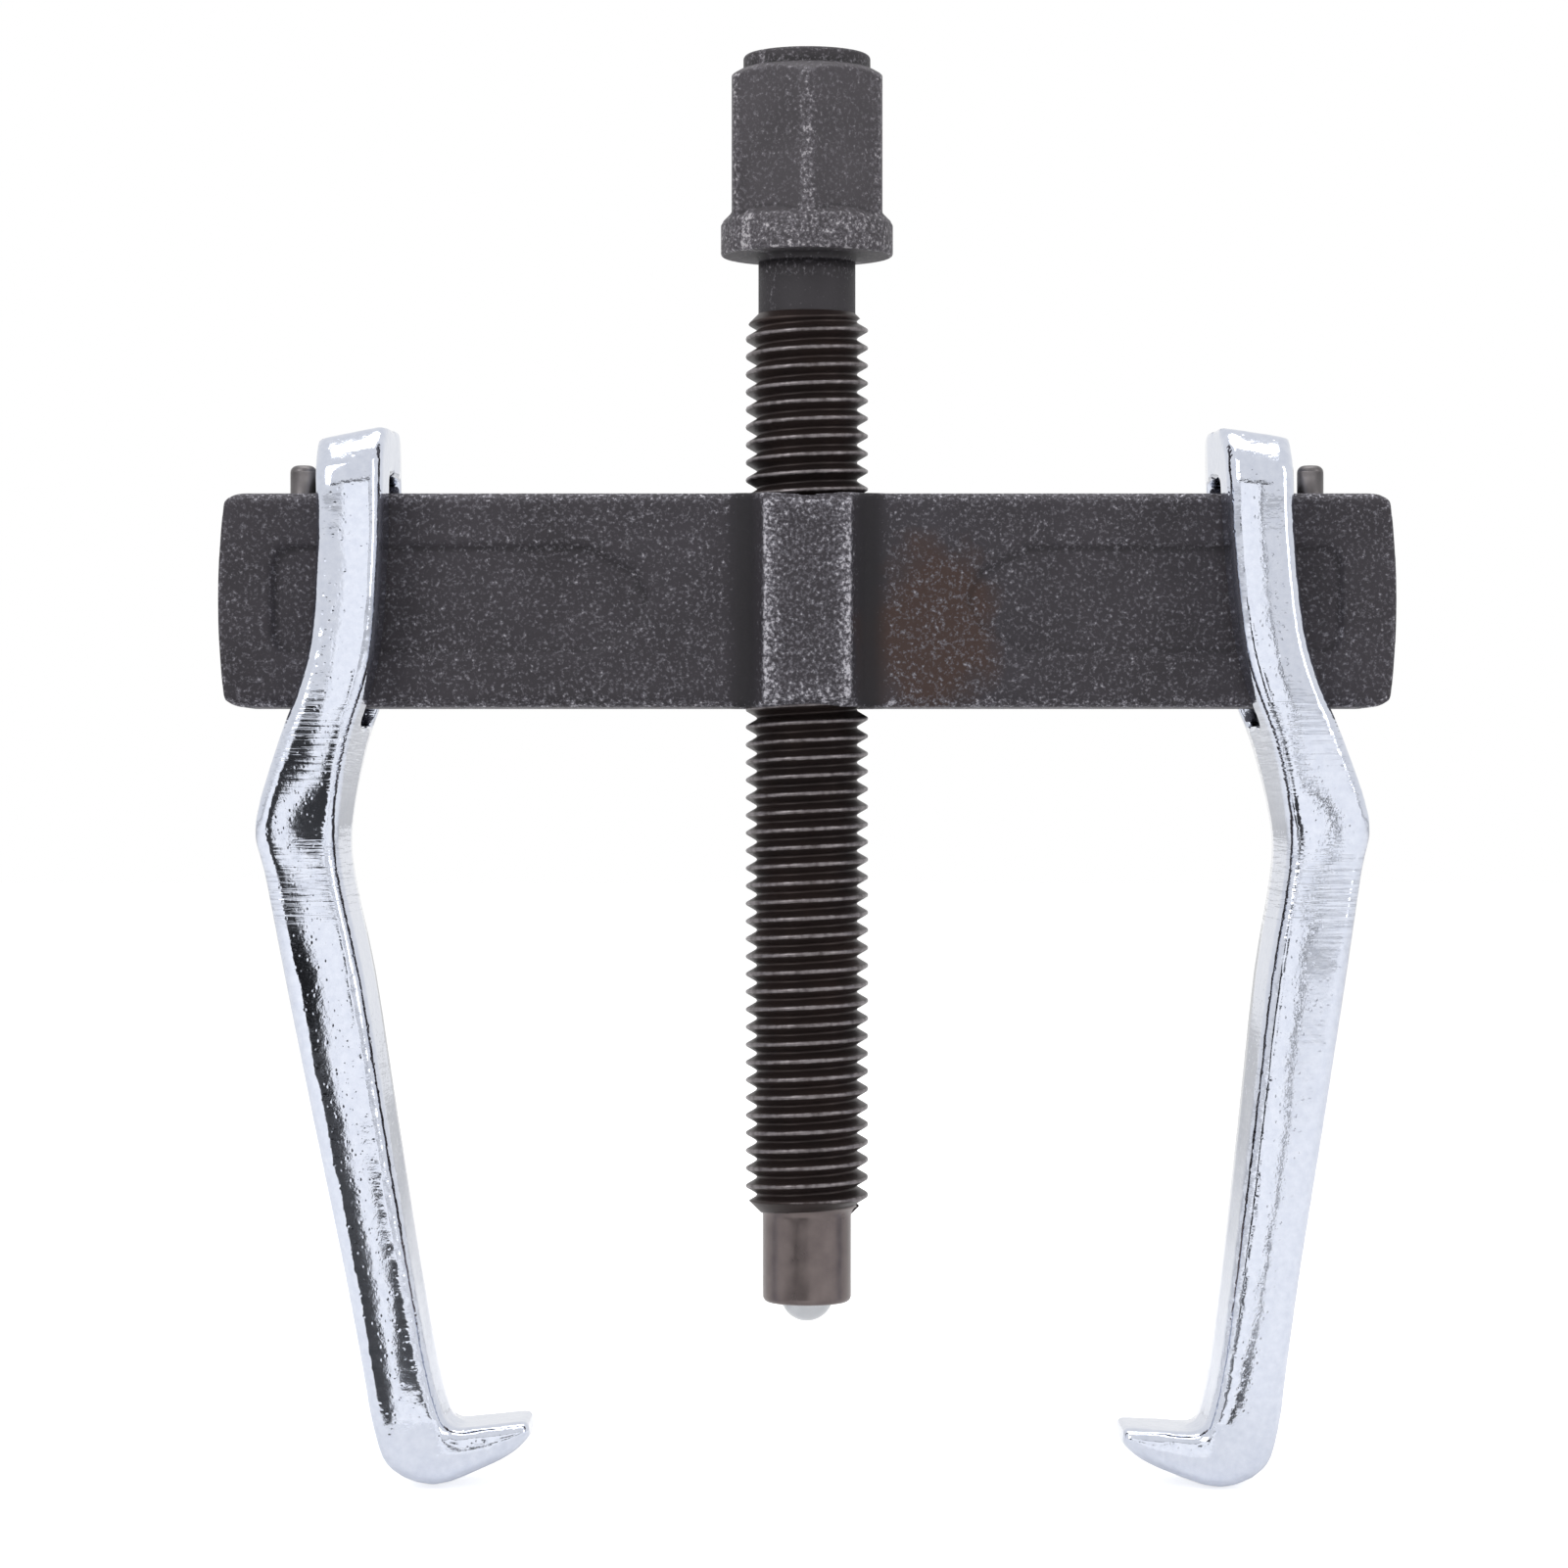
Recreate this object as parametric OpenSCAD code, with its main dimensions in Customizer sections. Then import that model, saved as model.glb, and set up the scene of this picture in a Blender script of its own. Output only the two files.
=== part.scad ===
// Two-arm sliding-leg gear puller, drawn upright: the spindle is the Z axis, its drive hexagon is
// up, and the cross beam runs along X. The origin is the centre of the spindle's flat pilot end.

/* [Cross beam] */
// Length of the beam, end to end
beam_l = 132; // [120:1:170]
// Height of the beam
beam_h = 24; // [18:0.5:32]
// Thickness of the beam, front face to back face
beam_t = 14; // [11:0.5:18]
// Height of the beam's underside above the pilot end: how far the spindle is screwed through
spindle_out = 67.3; // [50:0.1:90]
// Radius of the rounded corners of the beam's outline
corner_r = 2.8; // [1:0.1:5]
// How far each end of the beam bulges out at mid-height
end_bulge = 0.8; // [0.2:0.1:2]
// Flat cut along the beam's long edges
edge_cut = 0.8; // [0.3:0.1:1.5]
// Depth of the forged panels sunk into both faces
panel_depth = 0.6; // [0.3:0.1:1.2]
// Height of the forged panels
panel_h = 12.4; // [8:0.1:16]
// Wall left between the tapped hole and the boss's flat faces
boss_wall = 2.73; // [2:0.01:5]
// Width of the boss's flat faces
boss_flat = 9.6; // [7:0.1:13]
// Radius of the hollow fillets where the boss runs into the faces
boss_fillet = 4; // [3:0.5:8]
// Flat cut along the top and bottom edges of the boss's flat faces
boss_cut = 1.2; // [0.5:0.1:2]
// How much wider than the thread the countersinks at the ends of the tapped hole are, on the radius
countersink_wide = 2.25; // [1:0.05:2.6]

/* [Stop pins] */
// Diameter of the pins pressed into the beam's top edge
pin_d = 3; // [2:0.5:4]
// How far the pins stand above the beam
pin_proud = 3.5; // [2.5:0.1:5]
// How deep the pins are pressed into the beam
pin_deep = 7; // [5:0.5:10]
// Distance from the beam's end to a pin's centre
pin_inset = 8.9; // [7:0.1:14]

/* [Spindle] */
// Outside diameter of the thread
thread_d = 13.9; // [11.5:0.1:17]
// Rise of the thread in one turn
pitch = 2; // [1.5:0.25:2.5]
// Length of the threaded stretch
thread_l = 102; // [85:1:125]
// How far the plain pilot's surface lies inside the thread's root
pilot_step = 0.67; // [0.3:0.01:1.2]
// Length of the pilot
pilot_l = 10; // [8:0.5:14]
// Diameter of the tip ball
ball_d = 6; // [5:0.25:6.5]
// How far the ball stands out of the pilot
ball_proud = 2.2; // [1.8:0.1:2.4]
// How far the neck's surface lies inside the thread's root
neck_step = 0.17; // [0.1:0.01:0.8]
// Length of the neck
neck_l = 6.5; // [4:0.5:10]
// How far the collar stands out past the hexagon's turned corners
collar_step = 0.19; // [0.1:0.01:1.5]
// Height of the collar
collar_h = 3.7; // [2.5:0.1:6]
// Width of the drive hexagon across its flats
hex_af = 17; // [14:0.1:21]
// Height of the hexagon, collar to end disc
hex_h = 17.5; // [14:0.5:22]
// How far the raised disc on the hexagon's end is set in from the flats
disc_step = 1.3; // [0.8:0.1:3]
// Height of the end disc
disc_h = 1.6; // [1:0.1:2.5]

/* [Legs] */
// Reach: from the beam's underside down to the hook faces
reach = 81; // [65:1:105]
// Gap above and below the beam inside a leg's window
window_gap = 2; // [1:0.1:3]
// Sliding gap between a leg's window and each face of the beam
slide_gap = 0.3; // [0.2:0.05:0.5]
// Width of the straps beside the window
strap_w = 9.2; // [8:0.1:12]
// Thickness of each strap, outward from the window
strap_t = 6; // [4:0.5:8]
// Thickness of the bridge over the window, at its lower, outer edge
bridge_h = 3.7; // [3:0.1:6]
// How far the knee stands out beyond the straps' outer face
knee_out = 6.8; // [3:0.1:10]
// Depth of the knee below the window's bottom
knee_drop = 11; // [8:0.5:14]
// Width of the leg at the knee
knee_w = 10.6; // [9:0.1:13]
// Width of the shank just above the heel
ankle_w = 8.5; // [7:0.1:10]
// How far the ankle stands in from the straps' outer face
ankle_in = 5.1; // [2:0.1:8]
// Thickness, front to back, of the shank below the knee
shank_t = 18; // [14:0.5:22]
// Thickness, front to back, of the toe
toe_t = 12; // [9:0.5:14]
// Length of the hook face
toe_l = 8; // [6:0.5:11]
// Rise of the hook face towards the toe's tip, in degrees
hook_rise = 6; // [0:1:10]
// Draft of the forged sides, in degrees
draft = 4.5; // [2:0.5:6]
// Outward swing of the left leg, in degrees
swing_left = 0; // [0:0.1:3]
// Outward swing of the right leg, in degrees
swing_right = 2.6; // [0:0.1:3]

/* [Hidden] */

// Colours of the finishes
black_oxide = "#4b4448";
dark_steel = "#5a5658";
bright_steel = "#c9ccd2";
chrome = "#d9dde6";

// Heights of the beam
beam_top = spindle_out + beam_h;
beam_mid = spindle_out + beam_h / 2;
pin_x = beam_l / 2 - pin_inset;

// The thread: 60 degree flanks between a narrow crest flat and a sharp root
thread_r = thread_d / 2;
crest_flat = 0.14 * pitch;
flank_h = (pitch - crest_flat) / 2;
thread_depth = 0.64 * pitch;
root_r = thread_r - thread_depth;
thread_gap = 0.32;
thread_sides = 16;
thread_z = pilot_l;
pilot_d = 2 * (root_r - pilot_step);
pilot_cut = 0.6;
// The radius that the thread's ends sink to, and the top of the shoulder above the pilot
thread_end_r = pilot_d / 2 - 0.6;
shoulder_r = root_r + 0.3;
neck_d = 2 * (root_r - neck_step);
countersink_r = thread_r + countersink_wide;
boss_proud = thread_r + thread_gap + boss_wall - beam_t / 2;
thread_top = pilot_l + thread_l;
// The tapped hole's thread starts below the beam, whole turns above the spindle's, so they mesh
tap_z = thread_z + pitch * floor((spindle_out - 3 - thread_z) / pitch);

// Heights of the spindle's head
collar_z = thread_top + neck_l;
hex_z = collar_z + collar_h;
disc_z = hex_z + hex_h;
spindle_top = disc_z + disc_h;
hex_corner_r = hex_af / sqrt(3);
corner_turned = 0.25;
collar_d = 2 * (hex_corner_r - corner_turned + collar_step);
disc_d = hex_af - 2 * disc_step;

// The ball and its socket, which closes in under the ball's middle and holds it
ball_r = ball_d / 2;
ball_z = ball_r - ball_proud;
socket_gap = 0.08;

// The leg, about its window's centre: u points outward along X and w points up
window_h = beam_h + 2 * window_gap;
window_t = beam_t + 2 * slide_gap;
window_round = 1.5;
half_window = window_h / 2;
out_u = strap_w / 2;
top_rise = 1.8;
shoulder = 3.8;
full_half = window_t / 2 + strap_t;
shank_half = shank_t / 2;
toe_half = toe_t / 2;
knee_w_pos = -half_window - knee_drop;
knee_u = out_u + knee_out;
hook_w = -beam_h / 2 - reach;
heel_drop = 6.7;
ankle_w_pos = hook_w + heel_drop;
ankle_u = out_u - ankle_in;
toe_root_u = ankle_u - ankle_w - 2.7;
toe_tip_u = toe_root_u - toe_l;
edge_round = 1;
stop_gap = 0.2;
leg_x = pin_x - pin_d / 2 - stop_gap - out_u;

// The leg's sections from the bridge down to the toe's tip:
// [outer u, outer w, inner u, inner w, half of the thickness front to back]
leg_sections = [
    [out_u - 0.2, half_window + bridge_h, -out_u, half_window + bridge_h + top_rise, full_half - shoulder],
    [out_u, half_window + bridge_h - shoulder, -out_u - 0.1, half_window + bridge_h + top_rise - shoulder,
        full_half],
    [out_u - 0.1, half_window / 2, -out_u - 0.1, half_window / 2, full_half],
    [out_u + 0.5, -half_window / 4, -out_u + 0.5, -half_window / 4, full_half],
    [out_u + knee_out * 0.28, -half_window * 0.7, -out_u + knee_out * 0.25, -half_window * 0.7, full_half],
    [out_u + knee_out * 0.6, -half_window - 1.5, knee_u - knee_w - 1.6, -half_window - 2.2, full_half - 0.6],
    [knee_u, knee_w_pos, knee_u - knee_w, knee_w_pos, full_half - 3.2],
    [knee_u - 1, knee_w_pos - 5.5, knee_u - knee_w - 0.3, knee_w_pos - 6.2, shank_half],
    [at_shank(0.2) + 5, shank_w_pos(0.2), at_shank(0.2) - 5, shank_w_pos(0.2), shank_half - 0.2],
    [at_shank(0.5) + 4.7, shank_w_pos(0.5), at_shank(0.5) - 4.6, shank_w_pos(0.5), shank_half - 0.8],
    [at_shank(0.8) + 4.3, shank_w_pos(0.8), at_shank(0.8) - 4.3, shank_w_pos(0.8), shank_half - 1.4],
    [ankle_u, ankle_w_pos, ankle_u - ankle_w, ankle_w_pos, shank_half - 1.8],
    [ankle_u - 1.2, hook_w, ankle_u - ankle_w - 1.4, hook_w + 1.6, toe_half + 0.9],
    [ankle_u - 3.1, hook_w - 4.7, ankle_u - ankle_w - 1.9, hook_w + 0.7, toe_half + 0.5],
    [ankle_u - 8.2, hook_w - heel_drop, toe_root_u, hook_w + 0.4, toe_half + 0.2],
    [toe_root_u - 0.35 * toe_l, hook_w - 4.8, toe_root_u - 0.4 * toe_l, hook_w + 0.9, toe_half],
    [toe_root_u - 0.78 * toe_l, hook_w - 3, toe_root_u - 0.75 * toe_l, hook_w + 1.2, toe_half - 0.2],
    [toe_tip_u, hook_w - 1.2, toe_tip_u + 0.3, hook_w + 1.3, toe_half - 0.3],
];

// A point of the shank's middle line, from the knee (0) to the ankle (1)
function shank_w_pos(t) = (knee_w_pos - 6) * (1 - t) + ankle_w_pos * t;
function at_shank(t) = (knee_u - 6.2) * (1 - t) + (ankle_u - ankle_w / 2) * t;

// A smooth curve through four neighbouring sections, at t between the middle two
function smooth(a, b, c, d, t) =
    b + (c - a) * t / 2 + (2 * a - 5 * b + 4 * c - d) * t * t / 2 + (3 * b - a - 3 * c + d) * t * t * t / 2;

// Sections with two more fitted between every two of the given ones
function refined(rows, steps = 3) = concat([for (i = [0 : len(rows) - 2]) for (k = [0 : steps - 1])
    smooth(rows[max(i - 1, 0)], rows[i], rows[i + 1], rows[min(i + 2, len(rows) - 1)], k / steps)],
    [rows[len(rows) - 1]]);

// The ten points of one section: a parting-line ridge on each side, drafted sides, broken edges
function ring(s) = let (
    across = [s[0] - s[2], s[1] - s[3]] / norm([s[0] - s[2], s[1] - s[3]]),
    h = s[4], e = edge_round, side = (h - e) * tan(draft),
    spots = [[0, 0], [side, -h + e], [side + e, -h]])
    concat(
        [for (p = spots) ring_point([s[0], s[1]], -across, p)],
        [for (i = [2 : -1 : 0]) ring_point([s[2], s[3]], across, spots[i])],
        [for (i = [1 : 2]) ring_point([s[2], s[3]], across, [spots[i][0], -spots[i][1]])],
        [for (i = [2 : -1 : 1]) ring_point([s[0], s[1]], -across, [spots[i][0], -spots[i][1]])]);
function ring_point(from, dir, p) = [from[0] + dir[0] * p[0], p[1], from[1] + dir[1] * p[0]];

// A rounded rectangle drawn as a polygon, centred
function round_corner(x, y, r, start) = [for (a = [0 : 15 : 90])
    [x + r * cos(start + a), y + r * sin(start + a)]];
function round_rect(w, h, r) = concat(
    round_corner(w / 2 - r, h / 2 - r, r, 0), round_corner(r - w / 2, h / 2 - r, r, 90),
    round_corner(r - w / 2, r - h / 2, r, 180), round_corner(w / 2 - r, r - h / 2, r, 270));

// A helical thread of `turns` turns that starts at z0. Its ends sink to end_r over one turn.
module helix(crest_r, valley_r, end_r, z0, turns) {
    n = thread_sides;
    knots = [[0, crest_r], [crest_flat, crest_r], [crest_flat + flank_h, valley_r]];
    rows = turns * 3;
    ramp = 3 * n;
    function sunk(r, along) = let (f = min(1, along / ramp)) end_r + (r - end_r) * f;
    function spot(i, j) = let (
        k = knots[j % 3], a = 360 * i / n,
        along = min(3 * i + j * n, 3 * (n - i) + (rows - j) * n),
        r = sunk(k[1], max(0, along)))
        [r * cos(a), r * sin(a), z0 + k[0] + pitch * (floor(j / 3) + i / n)];
    side = [for (j = [0 : rows]) for (i = [0 : n - 1]) spot(i, j)];
    low = len(side);
    high = low + 1;
    function at(i, j) = i < n ? j * n + i : (j + 3) * n;
    low_rim = concat([for (i = [0 : n - 1]) at(i, 0)], [for (j = [3 : -1 : 1]) at(0, j)]);
    high_rim = concat(
        [for (i = [0 : n - 1]) at(i, rows)],
        [for (j = [rows - 1 : -1 : rows - 3]) at(n - 1, j)]);
    polyhedron(
        points = concat(side, [[0, 0, z0 + pitch / 2], [0, 0, z0 + (turns + 0.5) * pitch]]),
        faces = concat(
            [for (j = [0 : rows - 1]) for (i = [0 : n - 1]) if (i < n - 1 || j < rows - 3)
                [at(i, j), at(i, j + 1), at(i + 1, j + 1)]],
            [for (j = [0 : rows - 1]) for (i = [0 : n - 1]) if (i < n - 1 || j < rows - 3)
                [at(i, j), at(i + 1, j + 1), at(i + 1, j)]],
            [for (k = [0 : len(low_rim) - 1]) [low, low_rim[k], low_rim[(k + 1) % len(low_rim)]]],
            [for (k = [0 : len(high_rim) - 1]) [high, high_rim[(k + 1) % len(high_rim)], high_rim[k]]]));
}

// The beam's outline, seen from the front, with its ends bowed outward
module beam_outline() {
    half = beam_h / 2;
    bow_r = (half * half + end_bulge * end_bulge) / (2 * end_bulge);
    intersection() {
        polygon(round_rect(beam_l, beam_h, corner_r));
        translate([beam_l / 2 - bow_r, 0]) circle(r = bow_r, $fn = 180);
        translate([bow_r - beam_l / 2, 0]) circle(r = bow_r, $fn = 180);
    }
}

// One sunk panel: a square outer end with rounded corners, and a pointed end towards the boss
module panel_outline() {
    outer = beam_l / 2 - 6;
    inner = boss_flat / 2 + boss_fillet + 8.7;
    h = panel_h / 2;
    r = 2.5;
    polygon(concat(
        round_corner(outer - r, h - r, r, 0), [[inner + 7, h], [inner + 1.5, 0.52 * h], [inner, 0]],
        [[inner + 1.5, -0.52 * h], [inner + 7, -h]], round_corner(outer - r, r - h, r, 270)));
}

module boss() {
    half = beam_t / 2;
    proud = half + boss_proud;
    reach_x = boss_flat / 2 + sqrt(boss_fillet * boss_fillet - pow(boss_fillet - boss_proud, 2));
    difference() {
        translate([-reach_x, -proud, spindle_out]) cube([2 * reach_x, 2 * proud, beam_h]);
        for (x = [-1, 1]) for (y = [-1, 1])
            translate([x * reach_x, y * (half + boss_fillet), spindle_out - 1])
                cylinder(r = boss_fillet, h = beam_h + 2, $fn = 48);
        for (y = [-proud, proud]) for (z = [spindle_out, beam_top])
            translate([0, y, z]) rotate([45, 0, 0])
                cube([2 * reach_x + 1, boss_cut * sqrt(2), boss_cut * sqrt(2)], center = true);
    }
}

module cross_beam() color(black_oxide) difference() {
    union() {
        translate([0, beam_t / 2, beam_mid]) rotate([90, 0, 0]) linear_extrude(beam_t) beam_outline();
        boss();
    }
    for (y = [-1, 1]) for (z = [spindle_out, beam_top]) for (x = [-1, 1])
        translate([x * (boss_flat / 2 + boss_fillet + beam_l / 4), y * beam_t / 2, z]) rotate([45, 0, 0])
            cube([beam_l / 2, edge_cut * sqrt(2), edge_cut * sqrt(2)], center = true);
    for (x = [0, 1]) for (y = [0, 1]) mirror([x, 0, 0]) mirror([0, y, 0])
        translate([0, panel_depth - beam_t / 2, beam_mid]) rotate([90, 0, 0])
            linear_extrude(panel_depth + 1) panel_outline();
    for (z = [spindle_out, beam_top]) translate([0, 0, z]) mirror([0, 0, z > beam_mid ? 1 : 0])
        translate([0, 0, -1])
            cylinder(r1 = countersink_r + 1, r2 = countersink_r - 6, h = 7, $fn = 96);
    helix(thread_r + thread_gap, root_r + thread_gap, root_r, tap_z, ceil((beam_h + 6) / pitch));
    for (x = [-pin_x, pin_x]) translate([x, 0, beam_top - pin_deep])
        cylinder(d = pin_d, h = pin_deep + 1, $fn = 48);
}

module stop_pin(x) color(dark_steel) translate([x, 0, beam_top - pin_deep]) {
    dome = 0.5;
    cylinder(d = pin_d, h = pin_deep + pin_proud - dome, $fn = 48);
    translate([0, 0, pin_deep + pin_proud - dome])
        cylinder(d1 = pin_d, d2 = pin_d - 1.4, h = dome, $fn = 48);
}

// Hexagon with its top corners turned off and a cone that runs it out into the collar
module drive_head() {
    translate([0, 0, collar_z]) cylinder(d = collar_d, h = collar_h, $fn = 96);
    translate([0, 0, hex_z]) cylinder(d1 = collar_d, d2 = hex_af - 0.5, h = 1.4, $fn = 96);
    intersection() {
        translate([0, 0, hex_z - 1]) rotate([0, 0, 30]) cylinder(r = hex_corner_r, h = hex_h + 1, $fn = 6);
        translate([0, 0, hex_z - 1]) cylinder(r = hex_corner_r - corner_turned, h = hex_h + 1, $fn = 96);
        translate([0, 0, hex_z - 1])
            cylinder(r1 = disc_d / 2 + (hex_h + 1) * tan(60), r2 = disc_d / 2, h = hex_h + 1, $fn = 96);
    }
    translate([0, 0, disc_z - 1]) cylinder(d = disc_d, h = disc_h + 0.6, $fn = 96);
    translate([0, 0, spindle_top - 0.4]) cylinder(d1 = disc_d, d2 = disc_d - 0.8, h = 0.4, $fn = 96);
}

module spindle() color(black_oxide) difference() {
    union() {
        drive_head();
        translate([0, 0, thread_top - 2]) cylinder(d = neck_d, h = neck_l + 3, $fn = 96);
        translate([0, 0, collar_z - 0.7]) cylinder(d1 = neck_d, d2 = neck_d + 1.4, h = 0.7, $fn = 96);
        helix(thread_r, root_r, thread_end_r, thread_z, floor(thread_l / pitch));
        translate([0, 0, pilot_l])
            cylinder(r1 = pilot_d / 2, r2 = shoulder_r, h = shoulder_r - pilot_d / 2, $fn = 96);
        translate([0, 0, pilot_cut]) cylinder(d = pilot_d, h = pilot_l - pilot_cut, $fn = 96);
        cylinder(d1 = pilot_d - 2 * pilot_cut, d2 = pilot_d, h = pilot_cut, $fn = 96);
    }
    translate([0, 0, ball_z]) sphere(r = ball_r + socket_gap, $fn = 64);
}

module tip_ball() color(bright_steel) translate([0, 0, ball_z]) sphere(d = ball_d, $fn = 64);

// One forged leg about its window's centre, with its toe pointing to -X
module leg() {
    rings = [for (s = refined(leg_sections)) ring(s)];
    n = len(rings[0]);
    last = len(rings) - 1;
    difference() {
        polyhedron(
            points = [for (r = rings) for (p = r) p],
            faces = concat(
                [[for (i = [0 : n - 1]) i]], [[for (i = [n - 1 : -1 : 0]) last * n + i]],
                [for (k = [0 : last - 1]) for (i = [0 : n - 1])
                    [k * n + i, (k + 1) * n + i, (k + 1) * n + (i + 1) % n]],
                [for (k = [0 : last - 1]) for (i = [0 : n - 1])
                    [k * n + i, (k + 1) * n + (i + 1) % n, k * n + (i + 1) % n]]));
        translate([-strap_w - knee_out, 0, 0]) rotate([90, 0, 90])
            linear_extrude(2 * (strap_w + knee_out)) polygon(round_rect(window_t, window_h, window_round));
        translate([toe_root_u, -toe_t, hook_w]) rotate([0, hook_rise, 0])
            translate([-2 * toe_l, 0, 0]) cube([2 * toe_l, 2 * toe_t, 4]);
    }
}

module leg_left() color(chrome) translate([-leg_x, 0, beam_mid]) mirror([1, 0, 0])
    rotate([0, -swing_left, 0]) leg();

module leg_right() color(chrome) translate([leg_x, 0, beam_mid]) rotate([0, -swing_right, 0]) leg();

cross_beam();
stop_pin(-pin_x);  // stop_pin_left
stop_pin(pin_x);  // stop_pin_right
spindle();
tip_ball();
leg_left();
leg_right();
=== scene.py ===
# %% [markdown]
# # A two-arm gear puller, finished for looks
#
# A sliding-leg puller is a forged cross beam with a pressure screw through its middle and two hooked
# legs that hang on it. The CAD frame already holds each piece at full size and in its place. This
# lesson gives each piece the surface that a maker would recognise: relaxed forging edges, a rolled
# thread, turned steel and bright chrome.

# %% Load the frame and the modules
import math

import bmesh
import bpy
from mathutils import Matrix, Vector
from mathutils.kdtree import KDTree


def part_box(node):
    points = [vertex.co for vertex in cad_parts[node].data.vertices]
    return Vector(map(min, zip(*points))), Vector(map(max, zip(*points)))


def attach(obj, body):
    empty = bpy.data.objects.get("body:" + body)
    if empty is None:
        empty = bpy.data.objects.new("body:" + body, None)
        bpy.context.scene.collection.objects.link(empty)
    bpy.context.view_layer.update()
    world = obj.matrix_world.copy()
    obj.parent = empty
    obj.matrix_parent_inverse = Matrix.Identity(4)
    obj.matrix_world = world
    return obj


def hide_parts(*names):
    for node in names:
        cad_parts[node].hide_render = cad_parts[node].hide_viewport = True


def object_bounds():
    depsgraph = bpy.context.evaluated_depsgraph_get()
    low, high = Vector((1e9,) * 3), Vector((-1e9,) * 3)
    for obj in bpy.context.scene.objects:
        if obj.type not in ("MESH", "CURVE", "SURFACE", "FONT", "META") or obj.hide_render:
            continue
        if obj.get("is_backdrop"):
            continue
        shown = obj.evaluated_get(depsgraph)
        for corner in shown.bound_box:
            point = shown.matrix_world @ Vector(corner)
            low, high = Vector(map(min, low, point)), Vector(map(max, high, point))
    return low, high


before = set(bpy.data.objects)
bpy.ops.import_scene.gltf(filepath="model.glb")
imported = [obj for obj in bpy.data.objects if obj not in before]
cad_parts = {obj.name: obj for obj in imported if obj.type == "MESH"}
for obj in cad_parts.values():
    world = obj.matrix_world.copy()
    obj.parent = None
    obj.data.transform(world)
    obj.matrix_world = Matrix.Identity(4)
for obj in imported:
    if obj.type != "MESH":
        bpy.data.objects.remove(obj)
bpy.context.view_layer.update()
MM = 0.001

# %% [markdown]
# ## Three small helpers
#
# Colours are written as the sRGB hex values that a designer would pick, and one function turns them
# to the linear numbers that shaders use. A second function adds any node with its settings and
# links, so that a material reads from top to bottom. A third puts a finished mesh in the scene.

# %% Helpers for colours, nodes and objects
def srgb(code):
    """Turns a colour such as "#4b4448" to linear red, green, blue and alpha."""
    shares = [int(code[i:i + 2], 16) / 255 for i in (1, 3, 5)]
    return [v / 12.92 if v <= 0.04045 else ((v + 0.055) / 1.055) ** 2.4 for v in shares] + [1.0]


def add(tree, kind, inputs=None, **settings):
    """Adds a node. inputs maps a socket to a value, an output, or a node, for its first output."""
    made = tree.nodes.new(kind)
    for name, value in settings.items():
        setattr(made, name, value)
    for key, value in (inputs or {}).items():
        value = value.outputs[0] if isinstance(value, bpy.types.Node) else value
        if isinstance(value, bpy.types.NodeSocket):
            tree.links.new(value, made.inputs[key])
        else:
            made.inputs[key].default_value = value
    return made


def placed(name, mesh, material, smooth=True):
    """Puts a mesh in the scene at the origin, with its material."""
    obj = bpy.data.objects.new(name, mesh)
    bpy.context.scene.collection.objects.link(obj)
    mesh.materials.clear()
    mesh.materials.append(material)
    mesh.polygons.foreach_set("use_smooth", [smooth] * len(mesh.polygons))
    return obj


# %% [markdown]
# ## A material starts as an empty tree
#
# Every finish here is a Principled shader whose colour, roughness and bump come from patterns in
# Object coordinates. Object coordinates are metres on these pieces, so a pattern's scale is one
# over its size in metres.

# %% Start a material
def new_material(name, **uniform):
    """Makes a material; uniform sets the shader sockets that are the same all over."""
    material = bpy.data.materials.new(name)
    material.use_nodes = True
    tree = material.node_tree
    tree.nodes.clear()
    shader = add(tree, "ShaderNodeBsdfPrincipled")
    add(tree, "ShaderNodeOutputMaterial", {"Surface": shader.outputs["BSDF"]})
    for socket, value in uniform.items():
        shader.inputs[socket.replace("_", " ")].default_value = value
    place = add(tree, "ShaderNodeTexCoord").outputs["Object"]
    return material, tree, shader, place


def per_mm(size):
    """The texture scale whose pattern repeats about every size millimetres."""
    return 1 / (size * MM)


def axis_radius(tree, place):
    """Distance from the screw's axis, in metres."""
    flat = add(tree, "ShaderNodeVectorMath", {0: place, 1: (1, 1, 0)}, operation="MULTIPLY")
    return add(tree, "ShaderNodeVectorMath", {0: flat}, operation="LENGTH").outputs["Value"]
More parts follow.
